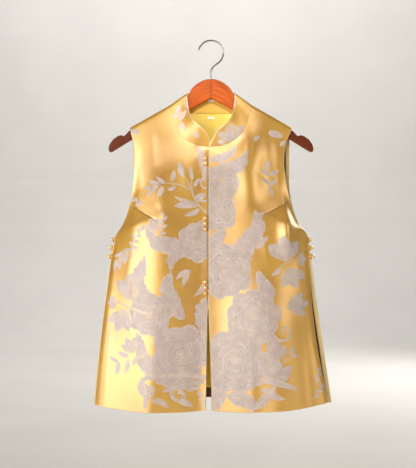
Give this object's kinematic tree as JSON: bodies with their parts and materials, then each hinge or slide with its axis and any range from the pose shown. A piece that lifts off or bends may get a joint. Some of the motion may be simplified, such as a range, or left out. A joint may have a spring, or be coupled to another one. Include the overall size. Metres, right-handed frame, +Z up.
{
  "type": "sleeveless jacket on a hanger",
  "caption": "Sleeveless stand-collar jacket of gold brocade with open side slits and ball-and-loop fastenings, hung on a flat wooden hanger with a steel hook.",
  "frame": {"origin": "inside of the crown of the hanger's hook, where a rail holds it", "axes": "+X to the right of someone facing the front, +Z up, +Y towards the wall behind the jacket"},
  "size_m": [0.487, 0.0812, 0.755],
  "materials": {
    "brocade": "gold satin ground with silver-lilac jacquard flowers",
    "lining_satin": "plain yellow-gold satin",
    "label": "blank white woven tape",
    "gilt": "polished gilt balls",
    "cord": "cream-gold satin cord",
    "wood": "varnished red-brown wood",
    "steel": "polished steel wire"
  },
  "bodies": {
    "root": {"front_right": "brocade", "front_left": "brocade", "back": "brocade", "back_lining": "lining_satin", "collar": "brocade", "neck_tab": "label", "collar_label": "label", "neck_ball_1": "gilt", "neck_loop_1": "cord", "neck_ball_2": "gilt", "neck_loop_2": "cord", "neck_ball_3": "gilt", "neck_loop_3": "cord", "bust_ball_1": "gilt", "bust_loop_1": "cord", "bust_ball_2": "gilt", "bust_loop_2": "cord", "bust_ball_3": "gilt", "bust_loop_3": "cord", "waist_ball_1": "gilt", "waist_loop_1": "cord", "waist_ball_2": "gilt", "waist_loop_2": "cord", "waist_ball_3": "gilt", "waist_loop_3": "cord", "right_side_ball_1": "gilt", "right_side_loop_1": "cord", "right_side_ball_2": "gilt", "right_side_loop_2": "cord", "right_side_ball_3": "gilt", "right_side_loop_3": "cord", "left_side_ball_1": "gilt", "left_side_loop_1": "cord", "left_side_ball_2": "gilt", "left_side_loop_2": "cord", "left_side_ball_3": "gilt", "left_side_loop_3": "cord", "hanger_body": "wood", "hanger_hook": "steel"}
  },
  "joints": []
}
